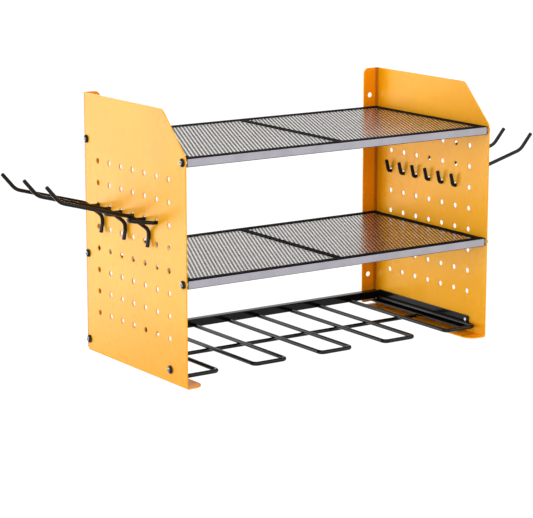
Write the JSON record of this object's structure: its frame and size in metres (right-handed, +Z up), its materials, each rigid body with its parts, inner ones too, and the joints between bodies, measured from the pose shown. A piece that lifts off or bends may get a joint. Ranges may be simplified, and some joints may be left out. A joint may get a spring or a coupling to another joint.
{
  "type": "wall mounted power tool organizer",
  "caption": "Wall rack for power tools: perforated steel side panels, mesh shelves, a wire rack with slots that drills hang in, and peg hooks outside.",
  "frame": {"origin": "on the wall plane, midway between the side panels, level with their lower faces", "axes": "+Z up, +Y into the wall, the open front faces -Y, +X to the right seen from the front"},
  "size_m": [0.6854, 0.219, 0.304],
  "materials": {
    "yellow_powder_coat": "satin powder coat",
    "dark_painted_steel": "satin paint",
    "grey_expanded_steel": "satin paint",
    "black_gloss_wire": "gloss powder coat",
    "black_screw_steel": "black oxide"
  },
  "bodies": {
    "organizer": {"left_side_panel": "yellow_powder_coat", "right_side_panel": "yellow_powder_coat", "upper_shelf_front_bar": "dark_painted_steel", "upper_shelf_rear_bar": "dark_painted_steel", "upper_shelf_left_side_bar": "dark_painted_steel", "upper_shelf_centre_bar": "dark_painted_steel", "upper_shelf_right_side_bar": "dark_painted_steel", "upper_shelf_left_mesh": "grey_expanded_steel", "upper_shelf_right_mesh": "grey_expanded_steel", "lower_shelf_front_bar": "dark_painted_steel", "lower_shelf_rear_bar": "dark_painted_steel", "lower_shelf_left_side_bar": "dark_painted_steel", "lower_shelf_centre_bar": "dark_painted_steel", "lower_shelf_right_side_bar": "dark_painted_steel", "lower_shelf_left_mesh": "grey_expanded_steel", "lower_shelf_right_mesh": "grey_expanded_steel", "upper_shelf_insert_left_front": "black_screw_steel", "upper_shelf_insert_left_rear": "black_screw_steel", "upper_shelf_insert_right_front": "black_screw_steel", "upper_shelf_insert_right_rear": "black_screw_steel", "lower_shelf_insert_left_front": "black_screw_steel", "lower_shelf_insert_left_rear": "black_screw_steel", "lower_shelf_insert_right_front": "black_screw_steel", "lower_shelf_insert_right_rear": "black_screw_steel", "upper_shelf_screw_left_front": "black_screw_steel", "upper_shelf_screw_left_rear": "black_screw_steel", "upper_shelf_screw_right_front": "black_screw_steel", "upper_shelf_screw_right_rear": "black_screw_steel", "lower_shelf_screw_left_front": "black_screw_steel", "lower_shelf_screw_left_rear": "black_screw_steel", "lower_shelf_screw_right_front": "black_screw_steel", "lower_shelf_screw_right_rear": "black_screw_steel", "left_drill_rack_bracket": "black_gloss_wire", "right_drill_rack_bracket": "black_gloss_wire", "drill_rack_rear_rail": "black_gloss_wire", "drill_rack_cross_rod": "black_gloss_wire", "drill_loop_1": "black_gloss_wire", "drill_loop_2": "black_gloss_wire", "drill_loop_3": "black_gloss_wire", "drill_loop_4": "black_gloss_wire", "drill_loop_5": "black_gloss_wire", "drill_rail_insert_left_rear": "black_screw_steel", "drill_rail_insert_right_rear": "black_screw_steel", "drill_rail_screw_left_rear": "black_screw_steel", "drill_rail_screw_right_rear": "black_screw_steel", "drill_bracket_screw_left_front": "black_screw_steel", "drill_bracket_screw_right_front": "black_screw_steel"},
    "left_rear_hook": {"left_rear_hook_arm": "black_gloss_wire", "left_rear_hook_prongs": "black_gloss_wire"},
    "left_middle_hook": {"left_middle_hook_arm": "black_gloss_wire", "left_middle_hook_prongs": "black_gloss_wire"},
    "left_front_hook": {"left_front_hook_arm": "black_gloss_wire", "left_front_hook_prongs": "black_gloss_wire"},
    "right_rear_hook": {"right_rear_hook_arm": "black_gloss_wire", "right_rear_hook_prongs": "black_gloss_wire"},
    "right_middle_hook": {"right_middle_hook_arm": "black_gloss_wire", "right_middle_hook_prongs": "black_gloss_wire"},
    "right_front_hook": {"right_front_hook_arm": "black_gloss_wire", "right_front_hook_prongs": "black_gloss_wire"}
  },
  "joints": [
    {"name": "left_rear_hook_tilt", "type": "hinge", "parent": "organizer", "child": "left_rear_hook", "pos_m": [-0.2105, -0.0443, 0.1744], "axis": [0, 1, 0], "range_deg": [0, 30]},
    {"name": "left_middle_hook_tilt", "type": "hinge", "parent": "organizer", "child": "left_middle_hook", "pos_m": [-0.2105, -0.0951, 0.1744], "axis": [0, 1, 0], "range_deg": [0, 30]},
    {"name": "left_front_hook_tilt", "type": "hinge", "parent": "organizer", "child": "left_front_hook", "pos_m": [-0.2105, -0.1459, 0.1744], "axis": [0, 1, 0], "range_deg": [0, 30]},
    {"name": "right_rear_hook_tilt", "type": "hinge", "parent": "organizer", "child": "right_rear_hook", "pos_m": [0.2105, -0.0443, 0.1744], "axis": [0, -1, 0], "range_deg": [0, 30]},
    {"name": "right_middle_hook_tilt", "type": "hinge", "parent": "organizer", "child": "right_middle_hook", "pos_m": [0.2105, -0.0951, 0.1744], "axis": [0, -1, 0], "range_deg": [0, 30]},
    {"name": "right_front_hook_tilt", "type": "hinge", "parent": "organizer", "child": "right_front_hook", "pos_m": [0.2105, -0.1459, 0.1744], "axis": [0, -1, 0], "range_deg": [0, 30]}
  ]
}
